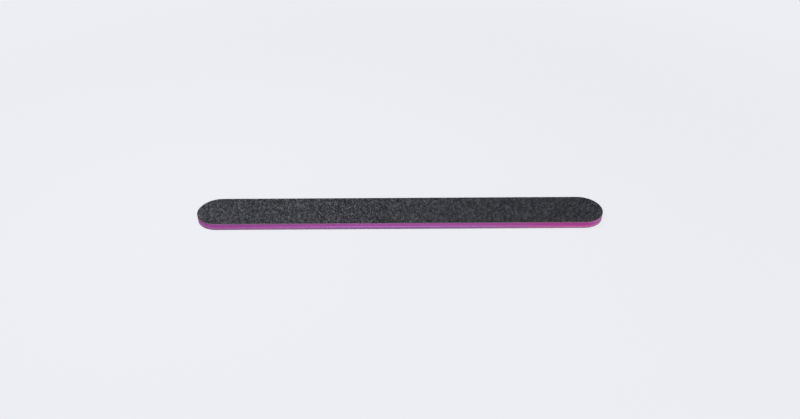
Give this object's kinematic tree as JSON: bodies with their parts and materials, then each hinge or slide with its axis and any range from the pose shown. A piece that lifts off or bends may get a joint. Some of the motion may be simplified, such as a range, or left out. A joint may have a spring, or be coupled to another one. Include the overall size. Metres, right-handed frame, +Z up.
{
  "type": "emery board",
  "caption": "Straight round-ended emery board: black abrasive sheet glued on both faces of a magenta foam cushion, with a stiff strip laminated into the foam.",
  "frame": {"origin": "middle of the underside, on the surface that the board lies on", "axes": "+X along the board, +Y across it, +Z up through its layers"},
  "size_m": [0.178, 0.019, 0.0036],
  "materials": {
    "grain": "matte",
    "resin": "satin",
    "paper": "matte",
    "glue": "gloss",
    "foam": "matte",
    "strip": "satin"
  },
  "bodies": {
    "root": {"upper_grain_coat": "grain", "upper_resin_coat": "resin", "upper_backing_paper": "paper", "upper_sheet_glue": "glue", "upper_foam": "foam", "upper_strip_glue": "glue", "centre_strip": "strip", "lower_strip_glue": "glue", "lower_foam": "foam", "lower_sheet_glue": "glue", "lower_backing_paper": "paper", "lower_resin_coat": "resin", "lower_grain_coat": "grain"}
  },
  "joints": []
}
